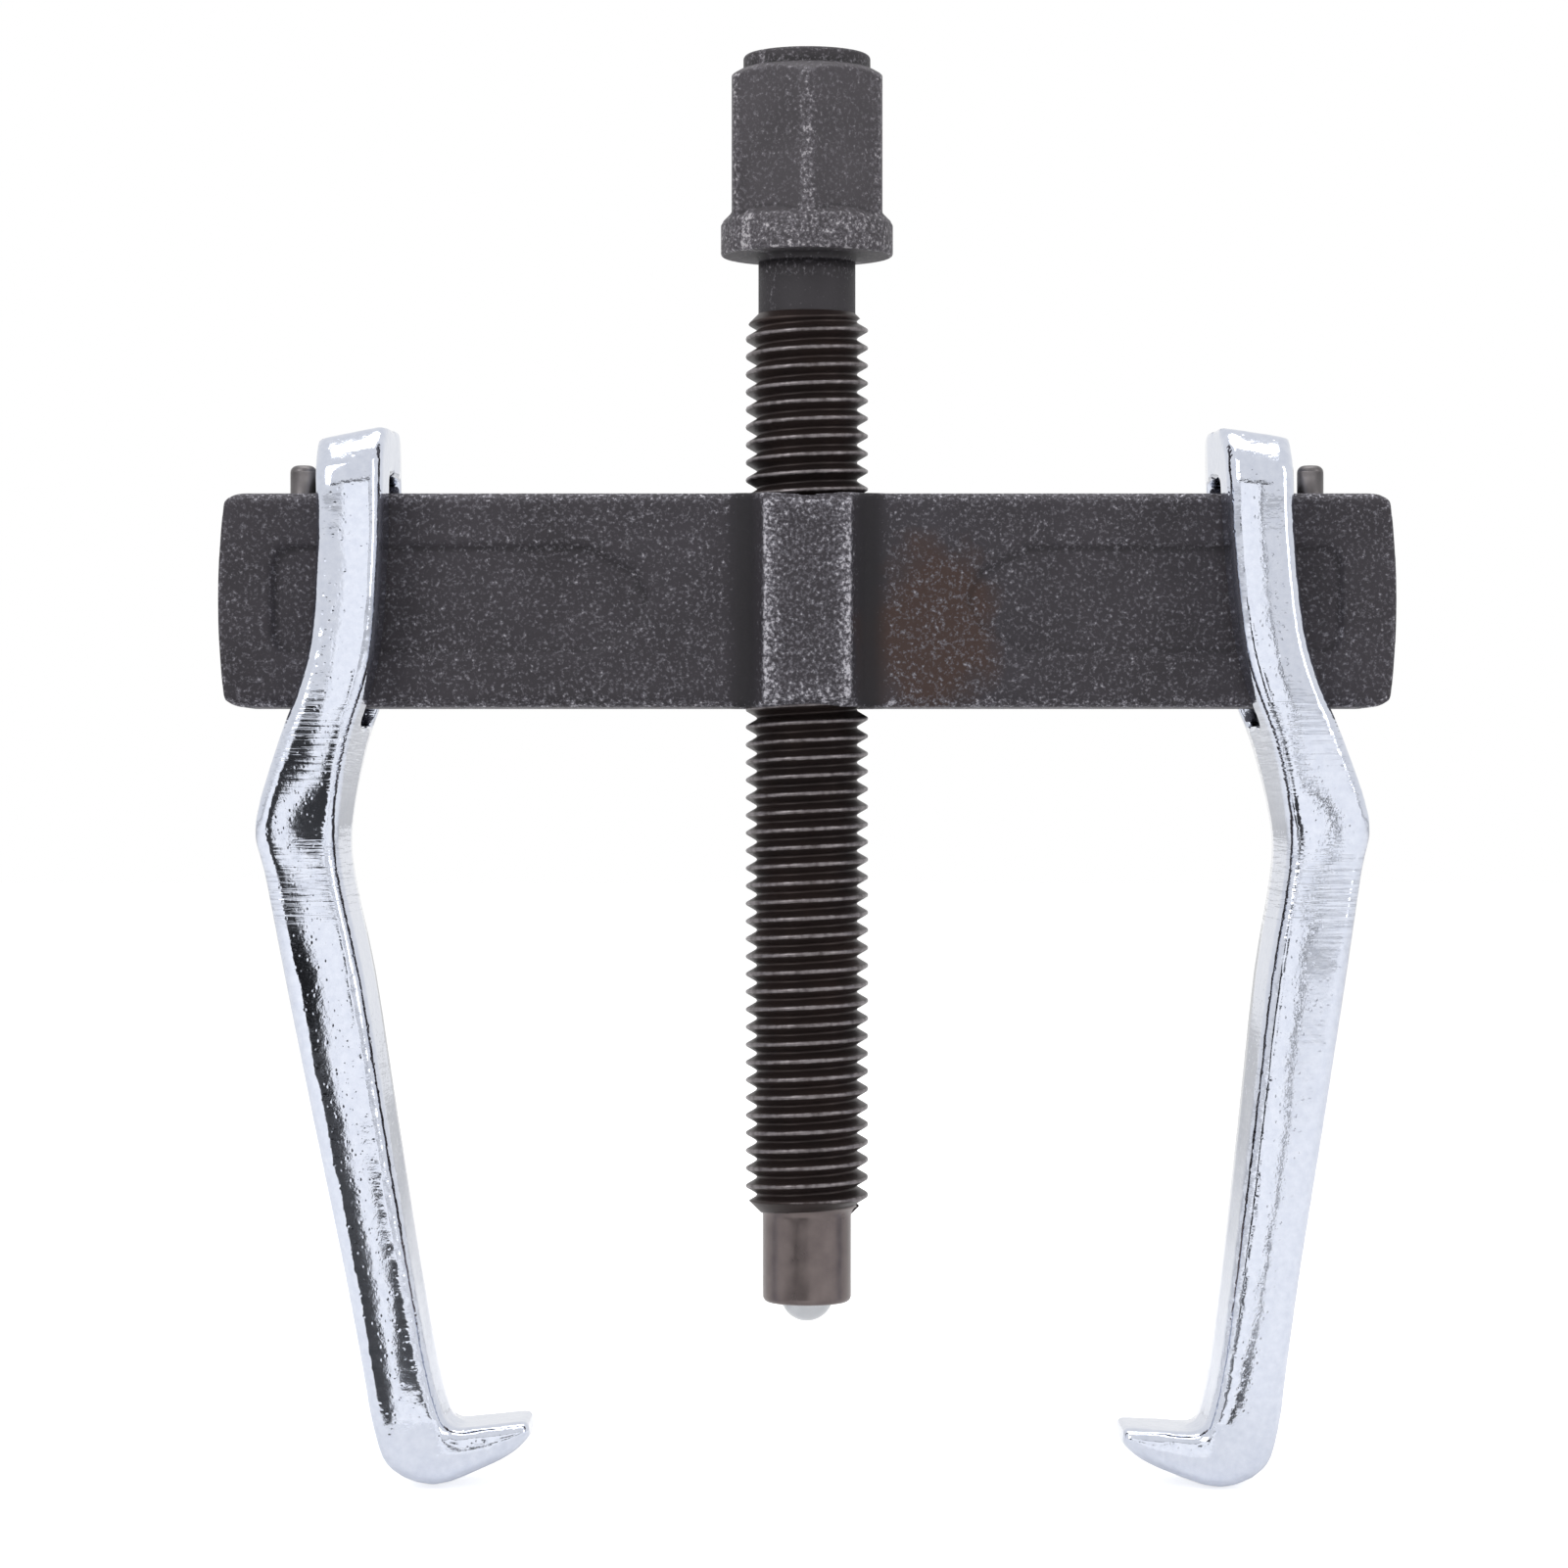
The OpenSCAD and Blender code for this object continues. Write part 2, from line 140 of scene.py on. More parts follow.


# %% [markdown]
# ## Shot-blasted black oxide
#
# The beam is a steel forging. Shot blasting leaves it covered in dimples of about half a
# millimetre, and the black oxide bath turns it a matte near-black. Dimple rims catch the light as
# fine specks, painted into the colour as lighter specks: painted glints. Where the oxide rubs off, as
# on edges and on the proud face of the boss, the specks crowd together and turn bright with real
# wear, so one noise makes all the specks and wear only moves its threshold.

# %% The black oxide material
def black_oxide(name, base, speck, worn, extra_wear=None, tints=()):
    """extra_wear adds or spares wear from place to place; each of tints changes the colour in turn."""
    material, tree, shader, place = new_material(name, Metallic=0.25, Specular_IOR_Level=0.3)
    dimples = add(tree, "ShaderNodeTexNoise", {"Vector": place, "Scale": per_mm(0.55), "Detail": 4.0,
                                               "Roughness": 0.65})
    clouds = add(tree, "ShaderNodeTexNoise", {"Vector": place, "Scale": per_mm(9), "Detail": 3.0})
    shade = add(tree, "ShaderNodeMapRange", {"Value": clouds, "From Min": 0.3, "From Max": 0.7,
                                             "To Min": 0.82, "To Max": 1.14})
    tint = add(tree, "ShaderNodeMix", {0: 1.0, 6: srgb(base), 7: shade}, data_type="RGBA",
               blend_type="MULTIPLY").outputs[2]
    for change in tints:
        tint = change(tree, place, tint)
    edge = add(tree, "ShaderNodeNewGeometry")
    wear = add(tree, "ShaderNodeMapRange", {"Value": edge.outputs["Pointiness"], "From Min": 0.51,
                                            "From Max": 0.58, "To Max": 0.13})
    if extra_wear:
        wear = add(tree, "ShaderNodeMath", {0: wear, 1: extra_wear(tree, place)}, operation="ADD")
    # Low pointiness marks concave places, and the colour there falls to 0.35 of itself: painted shade in
    # the hollows, along with oil that gathers there.
    hollow = add(tree, "ShaderNodeMapRange", {"Value": edge.outputs["Pointiness"], "From Min": 0.455,
                                              "From Max": 0.492, "To Min": 0.35, "To Max": 1.0})
    oil_and_shade = add(tree, "ShaderNodeMix", {0: 1.0, 6: tint, 7: hollow}, data_type="RGBA",
                 blend_type="MULTIPLY")
    grains = add(tree, "ShaderNodeTexNoise", {"Vector": place, "Scale": per_mm(0.42), "Detail": 2.0,
                                              "Roughness": 0.7})
    crowded = add(tree, "ShaderNodeMath", {0: grains, 1: wear}, operation="ADD")
    # The dull specks are painted glints from the dimple rims; the bright ones are real wear where the
    # oxide is rubbed off.
    dull = add(tree, "ShaderNodeMapRange", {"Value": crowded, "From Min": 0.52, "From Max": 0.72})
    bright = add(tree, "ShaderNodeMapRange", {"Value": crowded, "From Min": 0.68, "From Max": 0.84})
    glint_specked = add(tree, "ShaderNodeMix", {0: dull, 6: oil_and_shade.outputs[2], 7: srgb(speck)},
                  data_type="RGBA")
    final = add(tree, "ShaderNodeMix", {0: bright, 6: glint_specked.outputs[2], 7: srgb(worn)},
                data_type="RGBA")
    rough = add(tree, "ShaderNodeMapRange", {"Value": bright, "To Min": 0.62, "To Max": 0.4})
    bump = add(tree, "ShaderNodeBump", {"Strength": 0.6, "Distance": 0.12 * MM, "Height": dimples})
    tree.links.new(final.outputs[2], shader.inputs["Base Color"])
    tree.links.new(rough.outputs["Result"], shader.inputs["Roughness"])
    tree.links.new(bump.outputs["Normal"], shader.inputs["Normal"])
    return material


# %% [markdown]
# ## What sets places on the beam and the head apart
#
# The finish changes from place to place, and each change has a cause. The boss stands proud, so its
# flat faces are worn, most of all near their edges, and the beam's long edges rub as well. The
# fillets beside the boss are hollow, so they never rub, and painted shade makes them darkest. A brown
# bloom of rust has started low on the front face, right of the boss. On the head the hexagon's
# corners and the collar wear, while the neck and the end disc stand in from them, wear less and are
# darkened.

# %% Wear, painted shade in the fillets and rust on the beam, and wear on the head
BEAM_FACE = 7 * MM
BOSS_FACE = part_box("cross_beam")[1].y
BOSS_SIDE = 4.8 * MM
FILLET_END = 8.7 * MM
BEAM_MIDDLE = (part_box("cross_beam")[0].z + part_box("cross_beam")[1].z) / 2
BEAM_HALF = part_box("cross_beam")[1].z - BEAM_MIDDLE


def depth_from_middle(tree, place):
    """How far a point lies in front of or behind the beam's middle plane."""
    axes = add(tree, "ShaderNodeSeparateXYZ", {0: place})
    return add(tree, "ShaderNodeMath", {0: axes.outputs["Y"]}, operation="ABSOLUTE")


def from_middle(tree, place, axis, middle=0.0):
    """How far a point lies from the beam's middle along X or Z."""
    axes = add(tree, "ShaderNodeSeparateXYZ", {0: place})
    offset = add(tree, "ShaderNodeMath", {0: axes.outputs[axis], 1: middle}, operation="SUBTRACT")
    return add(tree, "ShaderNodeMath", {0: offset}, operation="ABSOLUTE")


def fillet_shade(tree, place):
    """1 in the middle of each fillet beside the boss, fading to 0 where the fillet ends."""
    across = from_middle(tree, place, "X")
    inner = add(tree, "ShaderNodeMapRange", {"Value": across, "From Min": BOSS_SIDE + 0.1 * MM,
                                             "From Max": BOSS_SIDE + 1.7 * MM},
                interpolation_type="SMOOTHSTEP")
    outer = add(tree, "ShaderNodeMapRange", {"Value": across, "From Min": FILLET_END - 1.6 * MM,
                                             "From Max": FILLET_END + 0.9 * MM, "To Min": 1.0,
                                             "To Max": 0.0}, interpolation_type="SMOOTHSTEP")
    on_face = add(tree, "ShaderNodeMapRange", {"Value": depth_from_middle(tree, place),
                                               "From Min": BEAM_FACE - 0.3 * MM,
                                               "From Max": BEAM_FACE - 0.1 * MM})
    between = add(tree, "ShaderNodeMath", {0: inner, 1: outer}, operation="MULTIPLY")
    return add(tree, "ShaderNodeMath", {0: between, 1: on_face}, operation="MULTIPLY")


def beam_wear(tree, place):
    """Wears the boss's faces, most near their edges, and the beam's long edges; spares the fillets."""
    height = from_middle(tree, place, "Z", BEAM_MIDDLE)
    sides = add(tree, "ShaderNodeMapRange", {"Value": from_middle(tree, place, "X"),
                                             "From Min": BOSS_SIDE - 2.2 * MM,
                                             "From Max": BOSS_SIDE - 0.4 * MM, "To Min": 0.05,
                                             "To Max": 0.19})
    ends = add(tree, "ShaderNodeMapRange", {"Value": height, "From Min": BEAM_HALF - 5 * MM,
                                            "From Max": BEAM_HALF - 1.2 * MM, "To Max": 0.13})
    crowd = add(tree, "ShaderNodeMath", {0: sides, 1: ends}, operation="MAXIMUM")
    proud = add(tree, "ShaderNodeMapRange", {"Value": depth_from_middle(tree, place),
                                             "From Min": BOSS_FACE - 0.9 * MM,
                                             "From Max": BOSS_FACE - 0.2 * MM})
    boss = add(tree, "ShaderNodeMath", {0: crowd, 1: proud}, operation="MULTIPLY")
    long_edges = add(tree, "ShaderNodeMapRange", {"Value": height, "From Min": BEAM_HALF - 1.1 * MM,
                                                  "From Max": BEAM_HALF - 0.2 * MM, "To Max": 0.1})
    worn = add(tree, "ShaderNodeMath", {0: boss, 1: long_edges}, operation="MAXIMUM")
    return add(tree, "ShaderNodeMath", {0: fillet_shade(tree, place), 1: -0.21, 2: worn},
               operation="MULTIPLY_ADD")


def paint_fillet_shade(tree, place, tint):
    """Paints shade into the fillets beside the boss, mixing in up to 0.85 of near-black."""
    share = add(tree, "ShaderNodeMath", {0: fillet_shade(tree, place), 1: 0.85}, operation="MULTIPLY")
    return add(tree, "ShaderNodeMix", {0: share, 6: tint, 7: srgb("#19171b")},
               data_type="RGBA").outputs[2]


def rust_bloom(tree, place, tint):
    """A brown patch on the front face, from the right fillet outwards."""
    heart_x, heart_z = 13.7 * MM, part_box("cross_beam")[0].z + 8.2 * MM
    centred = add(tree, "ShaderNodeMapping", {"Vector": place, "Location": (-heart_x, 0, -heart_z)})
    flattened = add(tree, "ShaderNodeVectorMath", {0: centred, 1: (1, 0.3, 0.8)}, operation="MULTIPLY")
    reach = add(tree, "ShaderNodeVectorMath", {0: flattened}, operation="LENGTH")
    noise = add(tree, "ShaderNodeTexNoise", {"Vector": place, "Scale": per_mm(5), "Detail": 5.0})
    ragged = add(tree, "ShaderNodeMath", {0: noise, 1: 9 * MM, 2: reach.outputs["Value"]},
                 operation="MULTIPLY_ADD")
    patch = add(tree, "ShaderNodeMapRange", {"Value": ragged, "From Min": 10 * MM, "From Max": 13.5 * MM,
                                             "To Min": 0.8, "To Max": 0.0})
    axes = add(tree, "ShaderNodeSeparateXYZ", {0: place})
    front = add(tree, "ShaderNodeMath", {0: axes.outputs["Y"], 1: 0.0}, operation="LESS_THAN")
    mask = add(tree, "ShaderNodeMath", {0: patch, 1: front}, operation="MULTIPLY")
    return add(tree, "ShaderNodeMix", {0: mask, 6: tint, 7: srgb("#3d2c26")}, data_type="RGBA").outputs[2]


def darker_near_axis(tree, place, tint):
    """Darkens the neck and the end disc, everything within about 7.4 millimetres of the axis."""
    near_axis = add(tree, "ShaderNodeMapRange", {"Value": axis_radius(tree, place),
                                                 "From Min": 7.4 * MM, "From Max": 7.8 * MM,
                                                 "To Min": 0.45, "To Max": 0.0})
    return add(tree, "ShaderNodeMix", {0: near_axis, 6: tint, 7: srgb("#1e1c1f")},
               data_type="RGBA").outputs[2]


def head_wear(tree, place):
    """Wears the hexagon's corners and the collar, and spares the neck, which nothing touches."""
    radius = axis_radius(tree, place)
    corners = add(tree, "ShaderNodeMapRange", {"Value": radius, "From Min": 9.2 * MM,
                                               "From Max": 9.45 * MM, "To Max": 0.11})
    neck = add(tree, "ShaderNodeMapRange", {"Value": radius, "From Min": 6 * MM, "From Max": 7 * MM,
                                            "To Min": -0.12, "To Max": 0.0})
    return add(tree, "ShaderNodeMath", {0: corners, 1: neck}, operation="ADD")


# The beam's tints: real rust, then painted shade in the fillets.
beam_finish = black_oxide("black_oxide_forging", "#343136", "#66646b", "#b4b2b9", beam_wear,
                          (rust_bloom, paint_fillet_shade))
# The head's tint darkens the neck and the end disc near the axis.
head_finish = black_oxide("black_oxide_turned_head", "#423f43", "#67646a", "#b0adb1", head_wear,
                          (darker_near_axis,))

# %% [markdown]
# ## Oiled black thread
#
# The thread is rolled, oxidised and lightly oiled. Its flanks are nearly black, and its crests,
# which rub in the beam, shine as thin bright lines. How far a point lies from the screw's axis
# tells crest from flank.

# %% The thread material
def oiled_thread(name, crest_r):
    material, tree, shader, place = new_material(name, Metallic=0.5, Specular_IOR_Level=0.35)
    radius = axis_radius(tree, place)
    grain = add(tree, "ShaderNodeTexNoise", {"Vector": place, "Scale": per_mm(0.8), "Detail": 4.0})
    wobble = add(tree, "ShaderNodeMath", {0: grain.outputs["Fac"], 1: 0.4 * MM, 2: radius},
                 operation="MULTIPLY_ADD")
    crest = add(tree, "ShaderNodeMapRange", {"Value": wobble.outputs[0],
                                             "From Min": crest_r + 0.03 * MM,
                                             "From Max": crest_r + 0.22 * MM})
    patches = add(tree, "ShaderNodeTexNoise", {"Vector": place, "Scale": per_mm(7), "Detail": 3.0})
    tint = add(tree, "ShaderNodeMix", {0: patches.outputs["Fac"], 6: srgb("#1d1a1c"), 7: srgb("#3c302d")},
               data_type="RGBA")
    worn = add(tree, "ShaderNodeMix", {0: crest.outputs["Result"], 6: tint.outputs[2],
                                       7: srgb("#7c7678")}, data_type="RGBA")
    rough = add(tree, "ShaderNodeMapRange", {"Value": crest.outputs["Result"], "To Min": 0.42,
                                             "To Max": 0.28})
    bump = add(tree, "ShaderNodeBump", {"Strength": 0.3, "Distance": 0.06 * MM,
                                        "Height": grain.outputs["Fac"]})
    tree.links.new(worn.outputs[2], shader.inputs["Base Color"])
    tree.links.new(rough.outputs["Result"], shader.inputs["Roughness"])
    tree.links.new(bump.outputs["Normal"], shader.inputs["Normal"])
    return material


# %% [markdown]
# ## Turned and polished steel
#
# The pilot, the pins and the ball share one finish in three shades. A lathe's own rings are too fine
# to show at this distance, so only faint ripples are drawn, about two millimetres apart, with
# blotches that break up the shine. The pilot keeps a brownish oxide, the pins are dark and the ball
# is bright.

# %% The steel of the pilot, the pins and the ball
WAVE_RATE = 20  # radians that the wave texture turns through in one unit


def turned_steel(name, base, light, roughness, ripple_mm=0.35):
    """The ripples come 2 pi times ripple_mm apart, because the wave texture counts in radians."""
    material, tree, shader, place = new_material(name, Metallic=0.85)
    rings = add(tree, "ShaderNodeTexWave", {"Vector": place, "Scale": per_mm(ripple_mm) / WAVE_RATE,
                                            "Distortion": 1.2, "Detail": 2.0}, bands_direction="Z")
    blotches = add(tree, "ShaderNodeTexNoise", {"Vector": place, "Scale": per_mm(2.5), "Detail": 5.0})
    tint = add(tree, "ShaderNodeMix", {0: blotches.outputs["Fac"], 6: srgb(base), 7: srgb(light)},
               data_type="RGBA")
    rough = add(tree, "ShaderNodeMapRange", {"Value": blotches.outputs["Fac"], "To Min": roughness - 0.1,
                                             "To Max": roughness + 0.12})
    bump = add(tree, "ShaderNodeBump", {"Strength": 0.25, "Distance": 0.03 * MM,
                                        "Height": rings.outputs["Fac"]})
    tree.links.new(tint.outputs[2], shader.inputs["Base Color"])
    tree.links.new(rough.outputs["Result"], shader.inputs["Roughness"])
    tree.links.new(bump.outputs["Normal"], shader.inputs["Normal"])
    return material


pilot_finish = turned_steel("oxidised_turned_steel", "#524a4b", "#7b716f", roughness=0.30)
pin_finish = turned_steel("dark_drawn_steel", "#4f4b4c", "#6d6a6b", roughness=0.4)
ball_finish = turned_steel("polished_ball_steel", "#aeb0b4", "#c6c8cc", roughness=0.16)

# %% [markdown]
# ## Chrome over a ground forging
#
# The legs are drop forgings, ground by hand on a belt and then chrome plated. Chrome hides nothing:
# shallow waves from the hand grinding bend its reflections, belt lines run across the knees, and
# small pits sparkle. So the waves, lines and pits are all bumps under one bright metal.

# %% The chrome material
def chrome(name, belt_heights):
    """belt_heights are the two heights where the grinding belt bit deepest across the leg."""
    material, tree, shader, place = new_material(name, Metallic=1.0)
    waves = add(tree, "ShaderNodeTexNoise", {"Vector": place, "Scale": per_mm(9), "Detail": 1.0})
    ripples = add(tree, "ShaderNodeTexNoise", {"Vector": place, "Scale": per_mm(0.9), "Detail": 3.0,
                                               "Roughness": 0.6})
    pits = add(tree, "ShaderNodeTexVoronoi", {"Vector": place, "Scale": per_mm(0.8)})
    pit_floor = add(tree, "ShaderNodeMapRange", {"Value": pits.outputs["Distance"], "From Min": 0.05,
                                                 "From Max": 0.3})
    across = add(tree, "ShaderNodeMapping", {"Vector": place, "Scale": (0.05, 0.05, 1.0)})
    belt = add(tree, "ShaderNodeTexNoise", {"Vector": across, "Scale": per_mm(0.55), "Detail": 3.0})
    height = add(tree, "ShaderNodeSeparateXYZ", {0: place}).outputs["Z"]
    bite = 0.05
    for belt_z in belt_heights:
        away = add(tree, "ShaderNodeMath", {0: height, 1: belt_z}, operation="SUBTRACT")
        away = add(tree, "ShaderNodeMath", {0: away}, operation="ABSOLUTE")
        near = add(tree, "ShaderNodeMapRange", {"Value": away, "From Min": 1.5 * MM, "From Max": 7 * MM,
                                                "To Min": 1.0, "To Max": 0.0})
        bite = add(tree, "ShaderNodeMath", {0: near, 1: bite}, operation="MAXIMUM")
    belt_depth = add(tree, "ShaderNodeMath", {0: belt, 1: bite}, operation="MULTIPLY")
    waved = add(tree, "ShaderNodeBump", {"Strength": 0.5, "Distance": 0.35 * MM, "Height": waves})
    rippled = add(tree, "ShaderNodeBump", {"Strength": 0.3, "Distance": 0.06 * MM, "Height": ripples,
                                           "Normal": waved})
    belted = add(tree, "ShaderNodeBump", {"Strength": 0.7, "Distance": 0.3 * MM, "Height": belt_depth,
                                          "Normal": rippled})
    pitted = add(tree, "ShaderNodeBump", {"Strength": 0.25, "Distance": 0.05 * MM,
                                          "Height": pit_floor, "Normal": belted})
    tint = add(tree, "ShaderNodeMix", {0: ripples, 6: srgb("#bdc3d2"), 7: srgb("#d9dde7")},
               data_type="RGBA")
    rough = add(tree, "ShaderNodeMapRange", {"Value": waves, "To Min": 0.04, "To Max": 0.14})
    tree.links.new(tint.outputs[2], shader.inputs["Base Color"])
    tree.links.new(rough.outputs["Result"], shader.inputs["Roughness"])
    tree.links.new(pitted.outputs["Normal"], shader.inputs["Normal"])
    return material


# %% [markdown]
# ## Relaxed forgings
#
# A forging has no sharp edge: the die's corners are rounded, and blasting or belt grinding rounds
# them further. Bevelling hundreds of CAD edges by hand would be slow. Instead a copy of the CAD
# piece is rebuilt on a fine voxel grid, and each point is then moved towards the mean of its
# neighbours a few times. Flat faces stay flat, and only edges and corners relax.

# %% Rebuild a CAD piece with relaxed edges
def relaxed(name, source, voxel, rounds, material, cut=None):
    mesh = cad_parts[source].data.copy()
    bm = bmesh.new()
    bm.from_mesh(mesh)
    bmesh.ops.remove_doubles(bm, verts=bm.verts, dist=1e-6)
    bm.to_mesh(mesh)
    bm.free()
    rough_copy = placed(name + "_rough", mesh, material)
    if cut:
        bore = rough_copy.modifiers.new("bore", "BOOLEAN")
        bore.object, bore.operation, bore.solver = cut, "DIFFERENCE", "EXACT"
    grid = rough_copy.modifiers.new("grid", "REMESH")
    grid.mode, grid.voxel_size = "VOXEL", voxel
    relax = rough_copy.modifiers.new("relax", "SMOOTH")
    relax.factor, relax.iterations = 0.5, rounds
    evaluated = rough_copy.evaluated_get(bpy.context.evaluated_depsgraph_get())
    done = placed(name, bpy.data.meshes.new_from_object(evaluated), material)
    bpy.data.objects.remove(rough_copy)
    print(name, len(done.data.polygons), "faces")
    return done


# %% [markdown]
# ## Anything turned on a lathe
#
# The pilot, the pins, the ball and the head each start as one outline, spun about an axis. The
# outline starts and ends on the axis, so each piece closes at a pole.

# %% Spin an outline
def arc(centre_r, centre_z, radius, start, end, steps=6):
    """Points of an arc in the (r, z) plane, angles in degrees."""
    spots = [math.radians(start + (end - start) * i / steps) for i in range(steps + 1)]
    return [(centre_r + radius * math.cos(a), centre_z + radius * math.sin(a)) for a in spots]


def spun(outline, sides=96, x=0.0, y=0.0, shape=None):
    """A closed mesh from an outline of (r, z); shape(angle, r, z) may change a point's radius."""
    bm = bmesh.new()
    rings = []
    for r, z in outline:
        if r < 1e-9:
            rings.append([bm.verts.new((x, y, z))])
            continue
        ring = []
        for i in range(sides):
            a = 2 * math.pi * i / sides
            radius = shape(a, r, z) if shape else r
            ring.append(bm.verts.new((x + radius * math.cos(a), y + radius * math.sin(a), z)))
        rings.append(ring)
    for low, high in zip(rings, rings[1:]):
        for i in range(sides):
            corners = [low[i % len(low)], low[(i + 1) % len(low)], high[(i + 1) % len(high)],
                       high[i % len(high)]]
            face = list(dict.fromkeys(corners))
            if len(face) > 2:
                bm.faces.new(face)
    bmesh.ops.recalc_face_normals(bm, faces=bm.faces)
    mesh = bpy.data.meshes.new("spun")
    bm.to_mesh(mesh)
    bm.free()
    return mesh


# %% [markdown]
# ## The cross beam
#
# The beam is the CAD forging with its edges relaxed. Its tapped hole is first bored out to just over
# the screw's crests, because a thread this fine would melt on the voxel grid, and the screw fills
# the hole so closely that the tapping can't be seen.

# %% Make the beam
SCREW_R = 6.95 * MM
PITCH = 2.0 * MM
beam_low, beam_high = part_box("cross_beam")
drill = placed("drill", spun([(0, beam_low.z - 0.01), (SCREW_R + 0.25 * MM, beam_low.z - 0.01),
                              (SCREW_R + 0.25 * MM, beam_high.z + 0.01), (0, beam_high.z + 0.01)]),
               beam_finish)
beam = relaxed("beam_forging", "cross_beam", 0.37 * MM, 2, beam_finish, cut=drill)
bpy.data.objects.remove(drill)
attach(beam, "beam")
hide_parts("cross_beam")

# %% [markdown]
# ## The screw thread
#
# A thread follows a rule, so Geometry Nodes make it. A flat grid as long as the number of turns is
# wound round the axis: one side of the grid is the angle, the other is the place across one pitch,
# and the radius falls from the crest along flanks that stand 60 degrees apart. The top and bottom
# turns are turned down to a cone, which is how a real screw's thread starts and stops.

# %% Geometry Nodes: a wound thread
def thread_tree(material):
    tree = bpy.data.node_groups.new("wound_thread", "GeometryNodeTree")
    sizes = {"Pitch": PITCH, "Turns": 10.0, "Bottom": 0.0, "Crest radius": SCREW_R,
             "Depth": 1.28 * MM, "Low end": 0.0, "High end": 1.0, "Low radius": 5 * MM,
             "High radius": 5 * MM}
    for name, value in sizes.items():
        socket = tree.interface.new_socket(name, in_out="INPUT", socket_type="NodeSocketFloat")
        socket.default_value = value
    tree.interface.new_socket("Geometry", in_out="OUTPUT", socket_type="NodeSocketGeometry")
    given = add(tree, "NodeGroupInput").outputs
    calc = "ShaderNodeMath"
    # The flat strip: 56 points to a turn, 13 across one pitch
    columns = add(tree, calc, {0: given["Turns"], 1: 56.0, 2: 1.0}, operation="MULTIPLY_ADD")
    strip = add(tree, "GeometryNodeMeshGrid", {"Size X": given["Turns"], "Size Y": 1.0,
                                               "Vertices X": columns, "Vertices Y": 13})
    spot = add(tree, "ShaderNodeSeparateXYZ", {0: add(tree, "GeometryNodeInputPosition")}).outputs
    turn = add(tree, calc, {0: given["Turns"], 1: 0.5, 2: spot["X"]}, operation="MULTIPLY_ADD")
    angle = add(tree, calc, {0: turn, 1: 2 * math.pi}, operation="MULTIPLY")
    # Height: one pitch for each turn, and the place across the strip
    across = add(tree, calc, {0: spot["Y"], 1: 0.5}, operation="ADD")
    rise = add(tree, calc, {0: turn, 1: across}, operation="ADD")
    z = add(tree, calc, {0: rise, 1: given["Pitch"], 2: given["Bottom"]}, operation="MULTIPLY_ADD")
    # Depth below the crest: flat for 7% of the pitch each way, then the flank, then the root
    aside = add(tree, calc, {0: spot["Y"]}, operation="ABSOLUTE")
    past_flat = add(tree, calc, {0: aside, 1: 0.07}, operation="SUBTRACT")
    distance = add(tree, calc, {0: past_flat, 1: given["Pitch"]}, operation="MULTIPLY")
    flank = add(tree, calc, {0: distance, 1: 0.0, 2: 0.1 * MM}, operation="SMOOTH_MAX")
    fall = add(tree, calc, {0: flank, 1: 1.732}, operation="MULTIPLY")
    sunk = add(tree, calc, {0: fall, 1: given["Depth"], 2: 0.3 * MM}, operation="SMOOTH_MIN")
    radius = add(tree, calc, {0: given["Crest radius"], 1: sunk}, operation="SUBTRACT")
    # Cones that end the thread
    over_low = add(tree, calc, {0: z, 1: given["Low end"]}, operation="SUBTRACT")
    low_cone = add(tree, calc, {0: over_low, 1: given["Low radius"]}, operation="ADD")
    under_high = add(tree, calc, {0: given["High end"], 1: z}, operation="SUBTRACT")
    high_cone = add(tree, calc, {0: under_high, 1: given["High radius"]}, operation="ADD")
    coned = add(tree, calc, {0: radius, 1: low_cone}, operation="MINIMUM")
    coned = add(tree, calc, {0: coned, 1: high_cone}, operation="MINIMUM")
    core = add(tree, calc, {0: given["Crest radius"], 1: 3.5 * MM}, operation="SUBTRACT")
    kept = add(tree, calc, {0: coned, 1: core}, operation="MAXIMUM")
    # Wind the strip round the axis
    east = add(tree, calc, {0: kept, 1: add(tree, calc, {0: angle}, operation="COSINE")},
               operation="MULTIPLY")
    north = add(tree, calc, {0: kept, 1: add(tree, calc, {0: angle}, operation="SINE")},
                operation="MULTIPLY")
    wound = add(tree, "ShaderNodeCombineXYZ", {"X": east, "Y": north, "Z": z})
    moved = add(tree, "GeometryNodeSetPosition", {0: strip, "Position": wound})
    welded = add(tree, "GeometryNodeMergeByDistance", {0: moved, "Distance": 1e-6})
    real = add(tree, "GeometryNodeRealizeInstances", {0: welded})
    coated = add(tree, "GeometryNodeSetMaterial", {0: real, "Material": material})
    add(tree, "NodeGroupOutput", {0: coated})
    return tree


def wound_thread(name, tree, material, **sizes):
    """Bakes the tree with the given sizes to a plain, closed mesh."""
    obj = placed(name, bpy.data.meshes.new(name), material)
    modifier = obj.modifiers.new("thread", "NODES")
    modifier.node_group = tree
    for item in tree.interface.items_tree:
        if item.item_type == "SOCKET" and item.in_out == "INPUT" and item.name.replace(" ", "_") in sizes:
            modifier[item.identifier] = sizes[item.name.replace(" ", "_")]
    evaluated = obj.evaluated_get(bpy.context.evaluated_depsgraph_get())
    mesh = bpy.data.meshes.new_from_object(evaluated)
    bpy.data.objects.remove(obj)
    bm = bmesh.new()
    bm.from_mesh(mesh)
    bmesh.ops.holes_fill(bm, edges=[e for e in bm.edges if e.is_boundary])
    bmesh.ops.recalc_face_normals(bm, faces=bm.faces)
    bm.to_mesh(mesh)
    bm.free()
    print(name, len(mesh.polygons), "faces")
    return mesh


